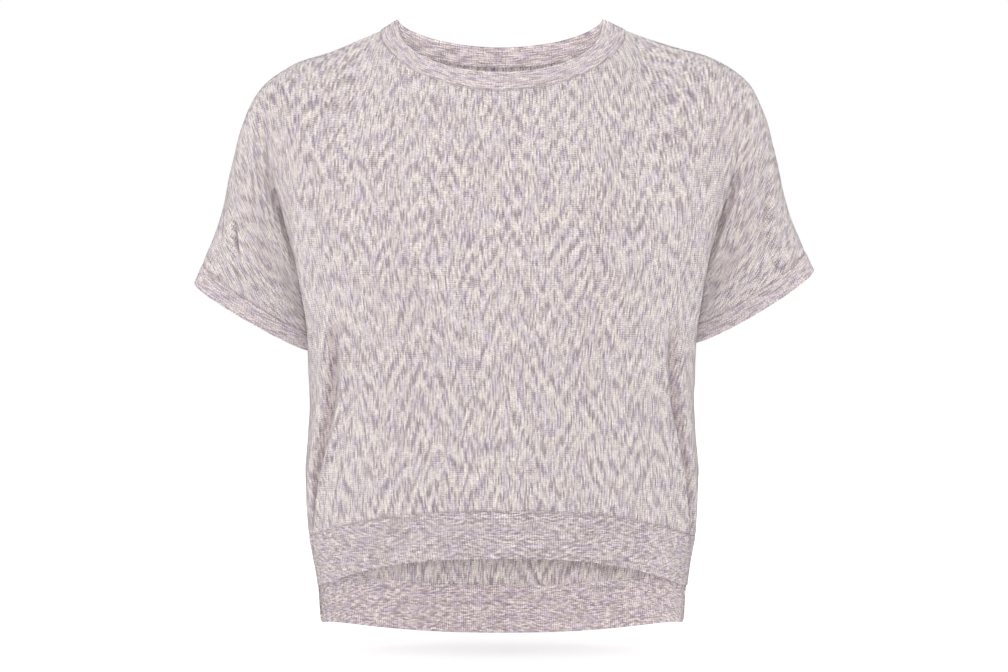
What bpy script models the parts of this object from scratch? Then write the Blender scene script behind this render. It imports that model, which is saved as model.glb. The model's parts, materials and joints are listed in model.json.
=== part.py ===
"""Short-sleeved knitted jumper, in the form it has when worn, with no wearer in it.

A boxy dolman cut: the front and the back panel each carry half of both sleeves, so there is no
armhole seam. A narrow band closes the round neck, a band closes each sleeve, and a deep band runs
along each hem. The back is longer than the front, and the hem bands part at a short side vent.

Frame: +X to the viewer's right, -Y towards the viewer, +Z up. The origin is the middle of the neck
at the height of the neck's side points, where the shoulders carry the garment.

A panel is one surface over two shares. `across` is 0 at the centre line, NECK_SHARE at the neck's
side point, 1 at the side seam and armpit, and 2 at the sleeve's cuff seam. `up` is -1 at the hem
seam, 0 at the underarm level, and 1 at the neckline, shoulder and overarm seam. Until the mesh is
made, a point is (out, y, level) in millimetres, with `out` measured from the centre line.
"""

import math

import bpy
import numpy as np
from mathutils.kdtree import KDTree

# ---------------------------------------------------------------- driving sizes, in millimetres
MM = 0.001
PANEL_WALL = 1.5
BAND_WALL = 2.0
SEAM_GAP = 0.3
SAME_PLACE = 0.02  # corners of two pieces this near each other are one place on a seam

SQUARENESS = 2.3  # power of the torso's rounded sections: 2 would be an ellipse
NECK_SHARE = 0.54
UNDERARM_LEVEL = -240.0
ARMHOLE_ON_OVERARM = 0.42  # share of the overarm seam that lies between the neck and the armpit

NECK_EDGE_RISE = 10.5
CUFF_HALF_DEPTH = 44.0
VENT = 3.0

# Under each arm the torso's sides are tucked in behind the contour that its front shows.
TUCK = 15.0
TUCK_LEVEL = -262.0
TUCK_SPREAD = 45.0
TUCK_TURN = math.radians(72)

# The underarm seam's reach out, backward and up as it leaves the armpit and as it meets the cuff.
UNDERARM_LEAVE = (25, 0, -50)
UNDERARM_ARRIVE = (-20, 75, -60)


def table(columns, *rows):
    """A short table, held as one array for each named column."""
    return {name: np.array([row[i] for row in rows], float) for i, name in enumerate(columns.split())}


# Sections of the torso: half width, and depth in front of and behind the side seams.
TORSO = table(
    "level half_width front back",
    (-612, 180, 110, 94),
    (-585, 181.5, 111, 95),
    (-549, 184, 112, 96),
    (-501, 192, 114, 98),
    (-453, 195, 117, 100),
    (-360, 191, 122, 103),
    (-300, 197.5, 125, 105),
    (-240, 208.5, 126, 106),
    (-190, 216, 123, 105),
)

# The neckband's seam and edge as depth and level at the centre line and the power of their curve.
# The hem band's seam and edge as levels at the centre line and at the side, with one power.
PANELS = {
    "front": dict(toward=-1, neck_seam=(89, -67.5, 1.15), neck_edge=(81, -50, 0.9),
                  hem_seam=(-472.5, -503.5), hem_edge=(-517.5, -552), hem_power=2.7),
    "back": dict(toward=1, neck_seam=(64, -29.5, 1.35), neck_edge=(56, -11, 1.35),
                 hem_seam=(-563, -545), hem_edge=(-611.5, -592), hem_power=2.4),
}
SIDE_SEAM_END, FRONT_HEM_END = (PANELS["front"][line][1] for line in ("hem_seam", "hem_edge"))

# Shoulder and overarm seam from the neck's side point to the cuff seam.
OVERARM = {
    "left": table("out y level", (121.5, 0, 0), (169, 3, -20), (210, 5, -35), (239.5, 7, -58),
                  (256.5, 9, -90), (268, 12, -127), (286, 22, -195), (302, 31, -231)),
    "right": table("out y level", (123.3, 0, 0), (169, 3, -15), (209, 5, -27), (243, 7, -50),
                   (260, 9, -80), (271.5, 12, -118), (290, 22, -184), (306, 31, -219)),
}

# Half widths of the neck's seam and edge, where the underarm seam meets the cuff, the top and bottom
# of the cuff's free edge, and how much lower the cuff's front hangs than its middle.
SIDES = {
    "left": dict(neck_seam=121.5, neck_edge=104.6, underarm=(193, 43, -301),
                 cuff_top=(311, 35, -250.5), cuff_bottom=(191, 52, -319), dip=7),
    "right": dict(neck_seam=123.3, neck_edge=101.0, underarm=(193, 43, -292),
                  cuff_top=(315, 35, -237.5), cuff_bottom=(192, 52, -310), dip=9),
}

# How each column of a panel leaves its foot and arrives at its top seam: the reach of the curve at
# each end. A foot on the torso follows the torso, so its reach out and forward is extra. The dip is
# the share of the cuff's dip that the column takes.
REACH = table(
    "across foot_up foot_out foot_forward top_up top_in top_back dip",
    (0.00, 172, 0, 0, 165, 0, 58, 0),
    (0.54, 235, 0, 0, 112, 75, 130, 0),
    (0.80, 215, 0, 0, 40, 25, 300, 0),
    (1.00, 190, 0, 20, 25, 10, 420, 0),
    (1.25, 110, 25, 90, 15, 10, 340, 0.3),
    (1.60, 20, 15, 150, 5, 5, 230, 0.7),
    (2.00, 0, 0, 176, 0, 0, 176, 1),
)

# Facets: rows below and above the underarm, and columns up to the neck, the side and the cuff.
ROWS_BELOW = 7
ROWS_ABOVE = 9
COLUMNS_NECK = 6
COLUMNS_BODY = 13
COLUMNS_SLEEVE = 8
BAND_ROWS = 2

MATERIALS = {
    "marl_jersey": dict(colour=(0.61, 0.54, 0.57), nodes=("front_panel", "back_panel")),
    "marl_band": dict(colour=(0.53, 0.46, 0.50),
                      nodes=("neckband", "cuff_left", "cuff_right", "hem_band_front", "hem_band_back")),
}
ROUGHNESS = 0.9
SHARP_ANGLE = math.radians(40)


# ---------------------------------------------------------------- curves
def hermite(start, end, start_reach, end_reach, t):
    """The cubic from start to end whose derivatives at its ends are the two reaches."""
    t2, t3 = t * t, t * t * t
    return ((2 * t3 - 3 * t2 + 1) * start + (t3 - 2 * t2 + t) * start_reach
            + (3 * t2 - 2 * t3) * end + (t3 - t2) * end_reach)


def read(rows, by, column, at):
    """A table's column at `at` along its `by` column, on a smooth curve through the rows."""
    x, y = rows[by], rows[column]
    slope = np.gradient(y, x)
    i = np.clip(np.searchsorted(x, at) - 1, 0, len(x) - 2)
    step = x[i + 1] - x[i]
    t = np.clip((at - x[i]) / step, 0, 1)
    return hermite(y[i], y[i + 1], slope[i] * step, slope[i + 1] * step, t)


def point(out, y, level):
    """Points as one array whose last axis is (out, y, level)."""
    return np.stack(np.broadcast_arrays(np.asarray(out, float), y, level), axis=-1)


def smooth_step(t):
    t = np.clip(t, 0, 1)
    return t * t * (3 - 2 * t)


# ---------------------------------------------------------------- the outline's lines
def overarm(side, share):
    """Points at a share of the way along the shoulder and overarm seam."""
    rows = OVERARM[side]
    steps = np.hypot(np.diff(rows["out"]), np.diff(rows["level"]))
    along = dict(rows, share=np.concatenate(([0], np.cumsum(steps))) / steps.sum())
    return point(*(read(along, "share", name, share) for name in ("out", "y", "level")))


def torso_section(panel, turn, level):
    """Points on the torso: turn is 0 at the centre line and a right angle at the side seam."""
    sizes, power = PANELS[panel], 2 / SQUARENESS
    out = read(TORSO, "level", "half_width", level) * np.sin(turn) ** power
    depth = read(TORSO, "level", panel, level) * np.maximum(np.cos(turn), 0) ** power
    at_side = smooth_step((turn - TUCK_TURN) / (math.pi / 2 - TUCK_TURN))
    out = out - TUCK * at_side * np.exp(-((level - TUCK_LEVEL) / TUCK_SPREAD) ** 2)
    opening = smooth_step((SIDE_SEAM_END - level) / (SIDE_SEAM_END - FRONT_HEM_END))
    return point(out, sizes["toward"] * (depth + VENT * opening * np.sin(turn) ** 4), level)


def turn_at(panel, share, samples=400):
    """The turn at a share of the underarm section's length, from the centre line to the side."""
    turns = np.linspace(0, math.pi / 2, samples)
    steps = np.linalg.norm(np.diff(torso_section(panel, turns, UNDERARM_LEVEL), axis=0), axis=1)
    length = np.concatenate(([0], np.cumsum(steps)))
    return np.interp(share, length / length[-1], turns)


def neck_line(panel, side, line, share):
    """Points on the neckband's `seam` or `edge`: share is 0 at the centre line, 1 at the side."""
    sizes, turn = PANELS[panel], np.asarray(share) * math.pi / 2
    depth, centre_level, power = sizes["neck_" + line]
    side_level = NECK_EDGE_RISE if line == "edge" else 0
    cos = np.maximum(np.cos(turn), 0)
    return point(SIDES[side]["neck_" + line] * np.sin(turn), sizes["toward"] * depth * cos,
                 side_level + (centre_level - side_level) * cos ** power)


def hem_line(panel, line, turn):
    """Levels of the hem band's `seam` or `edge` at each turn round the torso."""
    centre, side = PANELS[panel]["hem_" + line]
    return centre + (side - centre) * np.sin(turn) ** (PANELS[panel]["hem_power"] * 2 / SQUARENESS)


# ---------------------------------------------------------------- surfaces
def panel_surface(panel, side, across, up):
    """Points of a panel's middle surface, for arrays of its two shares."""
    below = lower_surface(panel, across, np.maximum(-up, 0))
    above = upper_surface(panel, side, across, np.maximum(up, 0))
    return np.where((up < 0)[..., None], below, above)


def lower_surface(panel, across, down):
    """From the underarm level at down = 0 to the hem seam at down = 1."""
    turn = turn_at(panel, np.minimum(across, 1))
    drop = UNDERARM_LEVEL - hem_line(panel, "seam", turn)
    return torso_section(panel, turn, UNDERARM_LEVEL - drop * down)


def upper_surface(panel, side, across, up):
    """From the underarm level and underarm seam to the neckline, shoulder and overarm seam."""
    toward = PANELS[panel]["toward"]
    turn, along = turn_at(panel, np.minimum(across, 1)), np.clip(across - 1, 0, 1)
    foot = torso_section(panel, turn, UNDERARM_LEVEL)
    rise = torso_section(panel, turn, UNDERARM_LEVEL + 1) - foot
    armpit = torso_section(panel, math.pi / 2, UNDERARM_LEVEL)
    underarm = hermite(armpit, np.array(SIDES[side]["underarm"]), np.array(UNDERARM_LEAVE),
                       np.array(UNDERARM_ARRIVE), along[..., None])
    foot = np.where((across > 1)[..., None], underarm, foot)

    on_neck = neck_line(panel, side, "seam", np.minimum(across / NECK_SHARE, 1))
    on_shoulder = ARMHOLE_ON_OVERARM * np.clip((across - NECK_SHARE) / (1 - NECK_SHARE), 0, 1)
    on_overarm = overarm(side, on_shoulder + (1 - ARMHOLE_ON_OVERARM) * along)
    top = np.where((across < NECK_SHARE)[..., None], on_neck, on_overarm)

    reach = {name: read(REACH, "across", name, across) for name in REACH}
    dip = 4 * toward * SIDES[side]["dip"] * reach["dip"]
    leave = rise * reach["foot_up"][..., None] + point(reach["foot_out"], toward * reach["foot_forward"], dip)
    arrive = point(-reach["top_in"], -toward * reach["top_back"], reach["top_up"] - dip)
    return hermite(foot, top, leave, arrive, up[..., None])


def sleeve_end(side, panel, along, up):
    """The cuff: along is 0 at its seam and 1 at its free edge, up as on the panel."""
    toward, sizes = PANELS[panel]["toward"], SIDES[side]
    bulge = 4 * toward * np.array([0, CUFF_HALF_DEPTH, sizes["dip"]])
    bottom, top = np.array(sizes["cuff_bottom"]), np.array(sizes["cuff_top"])
    edge = hermite(bottom, top, bulge, -bulge, up[..., None])
    seam = upper_surface(panel, side, np.full_like(up, 2), up)
    return seam + (edge - seam) * along[..., None]


def hem_band(panel, across, down):
    """The hem band: down is 0 at its seam and 1 at its free edge."""
    turn = turn_at(panel, across)
    seam, edge = hem_line(panel, "seam", turn), hem_line(panel, "edge", turn)
    return torso_section(panel, turn, seam + (edge - seam) * down)


def neck_band(panel, side, around, rise):
    """The neckband: rise is 0 at its seam and 1 at its free edge."""
    seam, edge = (neck_line(panel, side, line, around) for line in ("seam", "edge"))
    return seam + (edge - seam) * rise[..., None]


# ---------------------------------------------------------------- facets
class Sheet:
    """Quads of one piece's middle surface, wound so that they face out of the garment."""

    def __init__(self):
        self.points, self.quads, self.index = [], [], {}

    def corner(self, position):
        key = tuple(np.round(position, 3))
        if key not in self.index:
            self.index[key] = len(self.points)
            self.points.append(np.array(position, float))
        return self.index[key]

    def add_grid(self, grid, facing_out):
        """Adds the quads of a grid of points. facing_out says which way its rows and columns wind."""
        corners = [[self.corner(position) for position in row] for row in grid]
        for lower, upper in zip(corners, corners[1:]):
            for a, b, c, d in zip(lower, lower[1:], upper[1:], upper):
                quad = [a, b, c, d] if facing_out else [d, c, b, a]
                if len(set(quad)) > 2:
                    self.quads.append(quad)


def mesh_grid(surface, columns, rows):
    across, up = np.meshgrid(columns, rows)
    return surface(across, up)


def on_side(side, grid):
    """Garment coordinates of a grid of (out, y, level) points."""
    grid = grid.copy()
    grid[..., 0] *= -1 if side == "left" else 1
    return grid


def winding(side, panel):
    """True where columns that run outward and rows that run up face out of the garment."""
    return (side == "right") == (panel == "front")


def panel_sheet(panel):
    sheet = Sheet()
    neck = np.linspace(0, NECK_SHARE, COLUMNS_NECK + 1)
    body = np.linspace(NECK_SHARE, 1, COLUMNS_BODY - COLUMNS_NECK + 1)[1:]
    sleeve = np.linspace(1, 2, COLUMNS_SLEEVE + 1)[1:]
    torso = np.concatenate((neck, body))
    above = np.linspace(0, 1, ROWS_ABOVE + 1)
    for side in ("left", "right"):
        def surface(across, up):
            return panel_surface(panel, side, across, up)
        outward = winding(side, panel)
        sheet.add_grid(on_side(side, mesh_grid(surface, torso, rows_below(panel))), outward)
        sheet.add_grid(on_side(side, mesh_grid(surface, np.concatenate((torso, sleeve)), above)), outward)
    return sheet


def rows_below(panel):
    """Values of up from the hem seam to the underarm. The side seam's rows match on both panels."""
    shared = -(UNDERARM_LEVEL - SIDE_SEAM_END) / (UNDERARM_LEVEL - PANELS[panel]["hem_seam"][1])
    rows = np.linspace(shared, 0, ROWS_BELOW + 1)
    return rows if panel == "front" else np.concatenate(([-1], rows))


def hem_band_sheet(panel):
    sheet = Sheet()
    neck = np.linspace(0, NECK_SHARE, COLUMNS_NECK + 1)
    body = np.linspace(NECK_SHARE, 1, COLUMNS_BODY - COLUMNS_NECK + 1)[1:]
    for side in ("left", "right"):
        def surface(across, up):
            return hem_band(panel, across, -up)
        grid = mesh_grid(surface, np.concatenate((neck, body)), np.linspace(-1, 0, BAND_ROWS + 1))
        sheet.add_grid(on_side(side, grid), winding(side, panel))
    return sheet


def neckband_sheet():
    sheet = Sheet()
    for panel in PANELS:
        for side in ("left", "right"):
            def surface(around, rise):
                return neck_band(panel, side, around, rise)
            grid = mesh_grid(surface, np.linspace(0, 1, COLUMNS_NECK + 1), np.linspace(0, 1, BAND_ROWS + 1))
            sheet.add_grid(on_side(side, grid), winding(side, panel))
    return sheet


def cuff_sheet(side):
    sheet = Sheet()
    for panel in PANELS:
        def surface(along, up):
            return sleeve_end(side, panel, along, up)
        grid = mesh_grid(surface, np.linspace(0, 1, BAND_ROWS + 1), np.linspace(0, 1, ROWS_ABOVE + 1))
        sheet.add_grid(on_side(side, grid), winding(side, panel))
    return sheet


# ---------------------------------------------------------------- walls
def unit(vector):
    return vector / max(np.linalg.norm(vector), 1e-9)


def face_normal(points, quad):
    a, b, c, d = (points[i] for i in quad)
    return np.cross(c - a, d - b)


def shared_normals(sheets):
    """Each sheet's directions out of the garment, the same wherever pieces meet."""
    points = [position for sheet in sheets.values() for position in sheet.points]
    tree = KDTree(len(points))
    for i, position in enumerate(points):
        tree.insert(position, i)
    tree.balance()
    totals, first = np.zeros((len(points), 3)), {}
    for name, sheet in sheets.items():
        first[name] = sum(len(other.points) for other in list(sheets.values())[:len(first)])
        for quad in sheet.quads:
            totals[[first[name] + i for i in quad]] += face_normal(sheet.points, quad)
    shared = [unit(sum(totals[j] for _, j, _ in tree.find_range(position, SAME_PLACE))) for position in points]
    return {name: shared[start:start + len(sheets[name].points)] for name, start in first.items()}


def border(sheet):
    """The directed edges that only one quad has."""
    edges = [(quad[i], quad[(i + 1) % 4]) for quad in sheet.quads for i in range(4)]
    edges = [(a, b) for a, b in edges if a != b]
    present = set(edges)
    return [(a, b) for a, b in edges if (b, a) not in present]


def drawn_back(sheet, normals, distance):
    """The corners, with those on the border moved into the piece by a distance from each edge."""
    inward = {}
    for a, b in border(sheet):
        normal = unit(normals[a] + normals[b])
        direction = unit(np.cross(normal, sheet.points[b] - sheet.points[a]))
        for i in (a, b):
            inward.setdefault(i, []).append(direction)
    moved = [position.copy() for position in sheet.points]
    for i, directions in inward.items():
        first, second = directions[0], directions[-1]
        moved[i] += distance * (first + second) / max(1 + float(first @ second), 0.5)
    return moved


def wall_mesh(name, sheet, normals, wall):
    """A closed wall about the sheet: its outer and inner skin, and a rim along the border."""
    corners = drawn_back(sheet, normals, SEAM_GAP / 2)
    outer = [position + normal * wall / 2 for position, normal in zip(corners, normals)]
    inner = [position - normal * wall / 2 for position, normal in zip(corners, normals)]
    count = len(corners)
    faces = [list(quad) for quad in sheet.quads]
    faces += [[i + count for i in reversed(quad)] for quad in sheet.quads]
    faces += [[b, a, a + count, b + count] for a, b in border(sheet)]
    faces = [list(dict.fromkeys(face)) for face in faces]
    mesh = bpy.data.meshes.new(name)
    mesh.from_pydata([tuple(position * MM) for position in outer + inner], [], faces)
    mesh.validate()
    return mesh


# ---------------------------------------------------------------- the garment
def clear_scene():
    for obj in list(bpy.data.objects):
        bpy.data.objects.remove(obj, do_unlink=True)


def knit_material(name, colour):
    material = bpy.data.materials.new(name)
    material.use_nodes = True
    shader = material.node_tree.nodes["Principled BSDF"]
    shader.inputs["Base Color"].default_value = (*colour, 1)
    shader.inputs["Roughness"].default_value = ROUGHNESS
    shader.inputs["Metallic"].default_value = 0
    return material


def garment_sheets():
    sheets = {panel + "_panel": panel_sheet(panel) for panel in PANELS}
    sheets["neckband"] = neckband_sheet()
    sheets.update({"cuff_" + side: cuff_sheet(side) for side in SIDES})
    sheets.update({"hem_band_" + panel: hem_band_sheet(panel) for panel in PANELS})
    return sheets


def build():
    clear_scene()
    collection = bpy.data.collections.new("jumper")
    bpy.context.scene.collection.children.link(collection)
    sheets = garment_sheets()
    normals = shared_normals(sheets)
    for material_name, material_sizes in MATERIALS.items():
        material = knit_material(material_name, material_sizes["colour"])
        for name in material_sizes["nodes"]:
            wall = PANEL_WALL if name.endswith("_panel") else BAND_WALL
            mesh = wall_mesh(name, sheets[name], normals[name], wall)
            mesh.materials.append(material)
            mesh.shade_smooth()
            mesh.set_sharp_from_angle(angle=SHARP_ANGLE)
            collection.objects.link(bpy.data.objects.new(name, mesh))


build()
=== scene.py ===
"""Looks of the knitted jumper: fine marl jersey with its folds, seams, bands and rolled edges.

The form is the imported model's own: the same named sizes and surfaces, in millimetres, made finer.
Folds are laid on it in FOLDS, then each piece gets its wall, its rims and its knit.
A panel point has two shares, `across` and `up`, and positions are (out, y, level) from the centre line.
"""

import json
import math

import bpy
import numpy as np
from mathutils import Vector, noise
from mathutils.kdtree import KDTree

# ---------------------------------------------------------------- the form, in millimetres
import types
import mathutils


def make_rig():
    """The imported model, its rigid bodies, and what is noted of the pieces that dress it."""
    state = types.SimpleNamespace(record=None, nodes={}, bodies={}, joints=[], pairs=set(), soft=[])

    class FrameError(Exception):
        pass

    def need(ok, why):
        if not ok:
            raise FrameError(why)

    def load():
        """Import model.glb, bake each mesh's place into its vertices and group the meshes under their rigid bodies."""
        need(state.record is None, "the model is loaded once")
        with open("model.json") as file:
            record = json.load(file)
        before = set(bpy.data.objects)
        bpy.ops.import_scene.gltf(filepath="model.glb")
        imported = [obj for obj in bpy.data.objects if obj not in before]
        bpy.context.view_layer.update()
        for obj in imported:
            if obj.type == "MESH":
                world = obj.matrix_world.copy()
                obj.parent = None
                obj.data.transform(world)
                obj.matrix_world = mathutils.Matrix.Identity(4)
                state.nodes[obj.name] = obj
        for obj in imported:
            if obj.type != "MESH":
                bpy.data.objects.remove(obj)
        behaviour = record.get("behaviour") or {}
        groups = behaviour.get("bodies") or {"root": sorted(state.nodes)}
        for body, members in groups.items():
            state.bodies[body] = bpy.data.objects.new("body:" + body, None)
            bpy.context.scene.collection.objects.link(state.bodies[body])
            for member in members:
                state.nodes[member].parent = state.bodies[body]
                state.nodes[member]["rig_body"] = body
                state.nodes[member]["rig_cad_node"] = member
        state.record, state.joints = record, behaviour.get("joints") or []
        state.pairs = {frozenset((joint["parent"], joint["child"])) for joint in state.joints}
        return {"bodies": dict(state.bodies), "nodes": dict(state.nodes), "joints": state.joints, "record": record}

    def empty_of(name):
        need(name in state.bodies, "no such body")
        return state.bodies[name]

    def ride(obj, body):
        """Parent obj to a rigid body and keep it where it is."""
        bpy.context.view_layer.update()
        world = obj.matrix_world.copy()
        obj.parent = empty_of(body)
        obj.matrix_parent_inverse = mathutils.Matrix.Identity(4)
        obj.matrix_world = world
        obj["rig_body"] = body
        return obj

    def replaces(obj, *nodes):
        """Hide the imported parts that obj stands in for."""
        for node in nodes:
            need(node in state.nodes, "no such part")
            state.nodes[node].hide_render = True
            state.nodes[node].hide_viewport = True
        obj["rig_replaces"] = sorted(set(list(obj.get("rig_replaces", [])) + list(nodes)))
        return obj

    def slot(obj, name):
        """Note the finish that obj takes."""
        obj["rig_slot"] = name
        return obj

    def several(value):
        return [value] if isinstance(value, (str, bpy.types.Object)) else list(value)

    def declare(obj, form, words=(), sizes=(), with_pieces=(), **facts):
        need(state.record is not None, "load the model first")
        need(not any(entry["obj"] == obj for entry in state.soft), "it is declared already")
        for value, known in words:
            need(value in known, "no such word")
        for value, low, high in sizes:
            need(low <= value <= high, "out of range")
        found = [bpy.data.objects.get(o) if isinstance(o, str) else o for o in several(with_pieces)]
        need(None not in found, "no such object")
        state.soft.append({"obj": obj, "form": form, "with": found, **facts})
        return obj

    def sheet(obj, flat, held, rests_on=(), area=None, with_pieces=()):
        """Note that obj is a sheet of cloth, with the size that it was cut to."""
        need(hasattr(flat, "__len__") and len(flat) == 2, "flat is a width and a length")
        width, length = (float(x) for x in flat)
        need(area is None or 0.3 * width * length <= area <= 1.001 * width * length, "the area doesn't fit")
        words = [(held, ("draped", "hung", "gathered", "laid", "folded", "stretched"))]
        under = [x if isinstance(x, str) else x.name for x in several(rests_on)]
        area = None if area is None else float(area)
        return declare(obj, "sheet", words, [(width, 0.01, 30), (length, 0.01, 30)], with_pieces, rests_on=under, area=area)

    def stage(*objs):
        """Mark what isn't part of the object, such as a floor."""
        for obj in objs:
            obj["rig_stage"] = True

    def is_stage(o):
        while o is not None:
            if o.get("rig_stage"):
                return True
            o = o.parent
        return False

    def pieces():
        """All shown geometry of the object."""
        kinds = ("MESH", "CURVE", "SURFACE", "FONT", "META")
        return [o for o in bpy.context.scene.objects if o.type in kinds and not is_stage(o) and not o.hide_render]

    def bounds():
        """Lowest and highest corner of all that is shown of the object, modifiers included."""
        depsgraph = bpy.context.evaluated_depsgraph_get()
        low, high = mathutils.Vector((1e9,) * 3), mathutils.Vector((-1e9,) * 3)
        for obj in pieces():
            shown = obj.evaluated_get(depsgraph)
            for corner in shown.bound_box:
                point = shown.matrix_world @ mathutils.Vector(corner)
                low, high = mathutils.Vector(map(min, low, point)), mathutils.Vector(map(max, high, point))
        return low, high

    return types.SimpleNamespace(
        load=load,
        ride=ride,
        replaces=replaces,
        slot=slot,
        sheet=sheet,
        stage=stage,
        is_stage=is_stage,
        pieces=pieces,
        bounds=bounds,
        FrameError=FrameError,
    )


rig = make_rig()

MM = 0.001
SAME_PLACE = 0.02  # corners of two pieces this near each other are one place on a seam

SQUARENESS = 2.3  # power of the torso's rounded sections: 2 would be an ellipse
NECK_SHARE = 0.54  # `across` at the neck point
UNDERARM_LEVEL = -240.0
ARMHOLE_ON_OVERARM = 0.42  # share of the overarm seam that lies between the neck and the armpit

NECK_EDGE_RISE = 10.5
CUFF_HALF_DEPTH = 44.0
VENT = 3.0  # how far each hem stands out at the side, below the side seam's end

# Under each arm the torso's sides are tucked in behind the contour that its front shows.
TUCK = 15.0
TUCK_LEVEL = -262.0
TUCK_SPREAD = 45.0
TUCK_TURN = math.radians(72)

# The underarm seam's reach out, backward and up as it leaves the armpit and as it meets the cuff.
UNDERARM_LEAVE = (25, 0, -50)
UNDERARM_ARRIVE = (-20, 75, -60)


def table(columns, *rows):
    """A short table, held as one array for each named column."""
    return {name: np.array([row[i] for row in rows], float) for i, name in enumerate(columns.split())}


# Sections of the torso: half width, and depth in front of and behind the side seams.
TORSO = table(
    "level half_width front back",
    (-612, 180, 110, 94),
    (-585, 181.5, 111, 95),
    (-549, 184, 112, 96),
    (-501, 192, 114, 98),
    (-453, 195, 117, 100),
    (-360, 191, 122, 103),
    (-300, 197.5, 125, 105),
    (-240, 208.5, 126, 106),
    (-190, 216, 123, 105),
)

# The neckband's seam and edge as depth and level at the centre line and the power of their curve.
# The hem band's seam and edge as levels at the centre line and at the side, with one power.
PANELS = {
    "front": dict(toward=-1, neck_seam=(89, -67.5, 1.15), neck_edge=(81, -50, 0.9),
                  hem_seam=(-472.5, -503.5), hem_edge=(-517.5, -552), hem_power=2.7),
    "back": dict(toward=1, neck_seam=(64, -29.5, 1.35), neck_edge=(56, -11, 1.35),
                 hem_seam=(-563, -545), hem_edge=(-611.5, -592), hem_power=2.4),
}
SIDE_SEAM_END, FRONT_HEM_END = (PANELS["front"][line][1] for line in ("hem_seam", "hem_edge"))

# Shoulder and overarm seam from the neck's side point to the cuff seam.
OVERARM = {
    "left": table("out y level", (121.5, 0, 0), (169, 3, -20), (210, 5, -35), (239.5, 7, -58),
                  (256.5, 9, -90), (268, 12, -127), (286, 22, -195), (302, 31, -231)),
    "right": table("out y level", (123.3, 0, 0), (169, 3, -15), (209, 5, -27), (243, 7, -50),
                   (260, 9, -80), (271.5, 12, -118), (290, 22, -184), (306, 31, -219)),
}

# Half widths of the neck's seam and edge, where the underarm seam meets the cuff, the top and bottom
# of the cuff's free edge, and how much lower the cuff's front hangs than its middle.
SIDES = {
    "left": dict(neck_seam=121.5, neck_edge=104.6, underarm=(193, 43, -301),
                 cuff_top=(311, 35, -250.5), cuff_bottom=(191, 52, -319), dip=7),
    "right": dict(neck_seam=123.3, neck_edge=101.0, underarm=(193, 43, -292),
                  cuff_top=(315, 35, -237.5), cuff_bottom=(192, 52, -310), dip=9),
}

# How each column of a panel leaves its foot and arrives at its top seam: the reach of the curve at
# each end. A foot on the torso follows the torso, so its reach out and forward is extra. The dip is
# the share of the cuff's dip that the column takes.
REACH = table(
    "across foot_up foot_out foot_forward top_up top_in top_back dip",
    (0.00, 172, 0, 0, 165, 0, 58, 0),
    (0.54, 235, 0, 0, 112, 75, 130, 0),
    (0.80, 215, 0, 0, 40, 25, 300, 0),
    (1.00, 190, 0, 20, 25, 10, 420, 0),
    (1.25, 110, 25, 90, 15, 10, 340, 0.3),
    (1.60, 20, 15, 150, 5, 5, 230, 0.7),
    (2.00, 0, 0, 176, 0, 0, 176, 1),
)


# ---------------------------------------------------------------- looks, in millimetres
SHELL_WALL = 1.3
SHELL_BAND_WALL = 1.9
SHARP_ANGLE = math.radians(60)
RIM_TURNS = (45, 90, 135)  # degrees round a border, from the outer skin to the inner one
SEAM_DRAW = 0.08  # how far each border is drawn in from its seam
SEAM_DEPTH = 0.8
SEAM_WIDTH = 1.5

# How far from the side a hem band's corner starts, and its rise.
BAND_CORNER = {"front": (7, 5), "back": (16, 11)}
CORNER_BEND = 0.98  # at a whole 1 the corner's edge would end upright

# Rows beside a seam, then the even steps in each stretch of a sheet and the stretch's length.
SEAM_STEPS = (1.2, 2.8, 5.0)
CLOSEST_ROWS = 0.35  # share of the first seam step
NECK_STEPS = 34
BODY_STEPS, BODY_RUN = 32, 115
SLEEVE_STEPS, SLEEVE_RUN = 36, 130
ABOVE_STEPS, ABOVE_RUN = 66, 215
BELOW_STEPS, BELOW_RUN = 72, {"front": 250, "back": 263}
TAIL_STEPS, TAIL_RUN = 12, 42  # of the back, below the side seam's end
HEM_STEPS, HEM_RUN = 12, 46
TRIM_STEPS, TRIM_RUN = 8, 19

# Corners of the flat cut that a panel's sleeve has, in the panel's own flat (out, level), the reach of
# the shoulder's curve, and where across the panel the straight body starts to turn toward the sleeve.
FLAT_CUFF_TOP = (408, -78)
FLAT_CUFF_BOTTOM = (332, -256)
FLAT_SHOULDER_SLOPE = math.radians(17)
FLAT_SHOULDER_REACH = 300
FLAT_TURN_START = 0.45
FLAT_TURN_SPREAD = 0.45

# The flats of the neckband and the cuffs.
NECK_HALF_RING = 330
NECK_FLAT_DEPTH = 20
CUFF_HALF_RING = 180

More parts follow.
